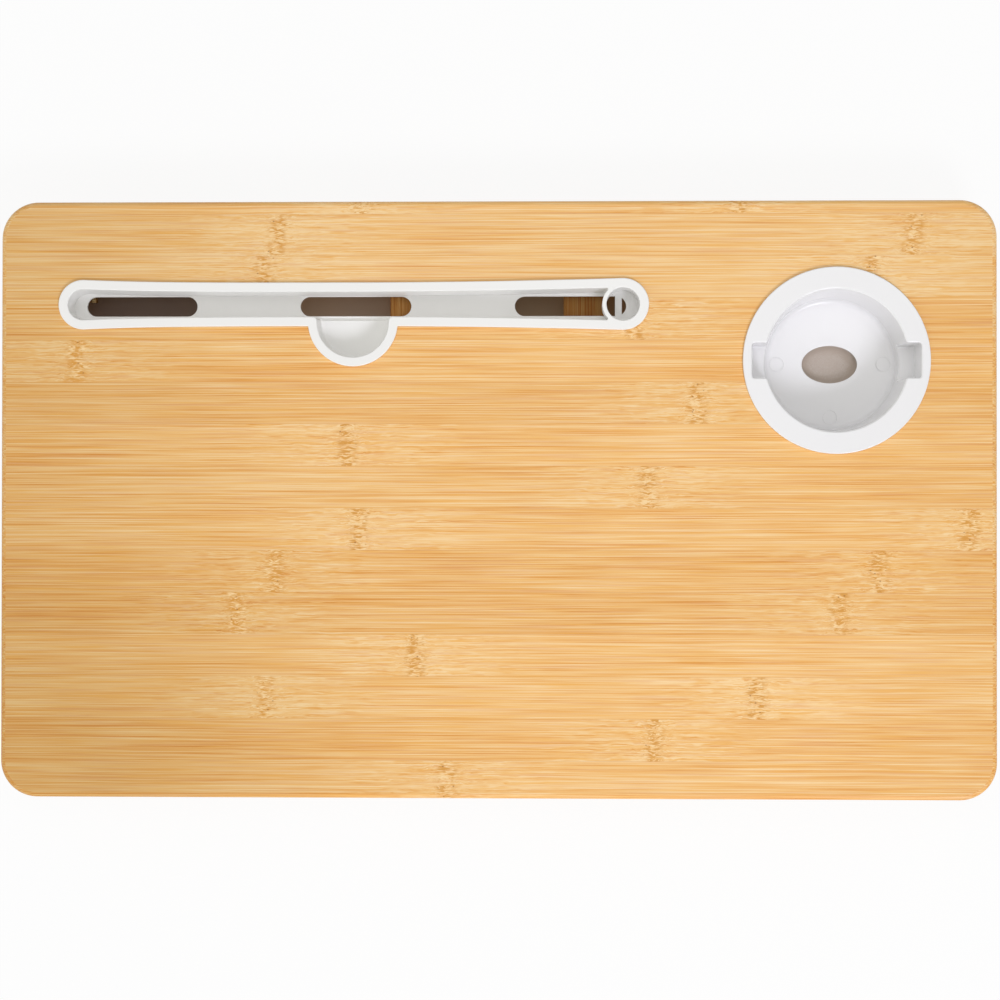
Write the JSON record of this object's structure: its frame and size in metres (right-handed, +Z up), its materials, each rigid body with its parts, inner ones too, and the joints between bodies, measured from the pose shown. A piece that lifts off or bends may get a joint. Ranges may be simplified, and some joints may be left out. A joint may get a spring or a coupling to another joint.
{
  "type": "foldaway laptop table",
  "caption": "Low rectangular bamboo laptop table with folding leg frames, a waisted tablet slot with a finger scoop and pen ring, and a cup well with handle notches; shown folded flat.",
  "frame": {"origin": "on the ground, under the centre of the folded table's footprint", "axes": "+X along the table towards the cup holder's end, +Y towards the rear edge with the tablet slot, +Z up out of the board"},
  "size_m": [0.5, 0.3, 0.0418],
  "materials": {
    "board_bamboo": "satin laminated bamboo in strips along the table",
    "apron_bamboo": "satin bamboo, grain along each rail",
    "leg_bamboo": "satin bamboo, a shade darker than the board",
    "white_plastic": "fine matte moulding",
    "zinc_steel": "yellow zinc plate",
    "nylon": "natural nylon",
    "rubber": "matt black rubber"
  },
  "bodies": {
    "root": {"tabletop": "board_bamboo", "tablet_slot_insert": "white_plastic", "cup_holder_insert": "white_plastic", "front_rail": "apron_bamboo", "rear_rail": "apron_bamboo", "left_end_rail": "apron_bamboo", "right_end_rail": "apron_bamboo", "front_rail_screw_1": "zinc_steel", "front_rail_screw_2": "zinc_steel", "front_rail_screw_3": "zinc_steel", "rear_rail_screw_1": "zinc_steel", "rear_rail_screw_2": "zinc_steel", "rear_rail_screw_3": "zinc_steel", "left_end_rail_screw_1": "zinc_steel", "left_end_rail_screw_2": "zinc_steel", "right_end_rail_screw_1": "zinc_steel", "right_end_rail_screw_2": "zinc_steel", "pivot_bolt_front_left": "zinc_steel", "spacer_washer_front_left": "nylon", "inner_washer_front_left": "zinc_steel", "lock_nut_front_left": "zinc_steel", "pivot_bolt_rear_left": "zinc_steel", "spacer_washer_rear_left": "nylon", "inner_washer_rear_left": "zinc_steel", "lock_nut_rear_left": "zinc_steel", "pivot_bolt_front_right": "zinc_steel", "spacer_washer_front_right": "nylon", "inner_washer_front_right": "zinc_steel", "lock_nut_front_right": "zinc_steel", "pivot_bolt_rear_right": "zinc_steel", "spacer_washer_rear_right": "nylon", "inner_washer_rear_right": "zinc_steel", "lock_nut_rear_right": "zinc_steel"},
    "left_leg": {"left_leg_front_post": "leg_bamboo", "left_leg_rear_post": "leg_bamboo", "left_leg_crossbar": "leg_bamboo", "left_leg_crossbar_screw_front_1": "zinc_steel", "left_leg_crossbar_screw_front_2": "zinc_steel", "left_leg_crossbar_screw_rear_1": "zinc_steel", "left_leg_crossbar_screw_rear_2": "zinc_steel", "left_leg_front_foot_pad": "rubber", "left_leg_rear_foot_pad": "rubber"},
    "right_leg": {"right_leg_front_post": "leg_bamboo", "right_leg_rear_post": "leg_bamboo", "right_leg_crossbar": "leg_bamboo", "right_leg_crossbar_screw_front_1": "zinc_steel", "right_leg_crossbar_screw_front_2": "zinc_steel", "right_leg_crossbar_screw_rear_1": "zinc_steel", "right_leg_crossbar_screw_rear_2": "zinc_steel", "right_leg_front_foot_pad": "rubber", "right_leg_rear_foot_pad": "rubber"}
  },
  "joints": [
    {"name": "left_leg_fold", "type": "hinge", "parent": "root", "child": "left_leg", "pos_m": [-0.20775, 0, 0.0167], "axis": [0, 1, 0], "range_deg": [0, 98]},
    {"name": "right_leg_fold", "type": "hinge", "parent": "root", "child": "right_leg", "pos_m": [0.20775, 0, 0.0167], "axis": [0, -1, 0], "range_deg": [0, 98]}
  ]
}
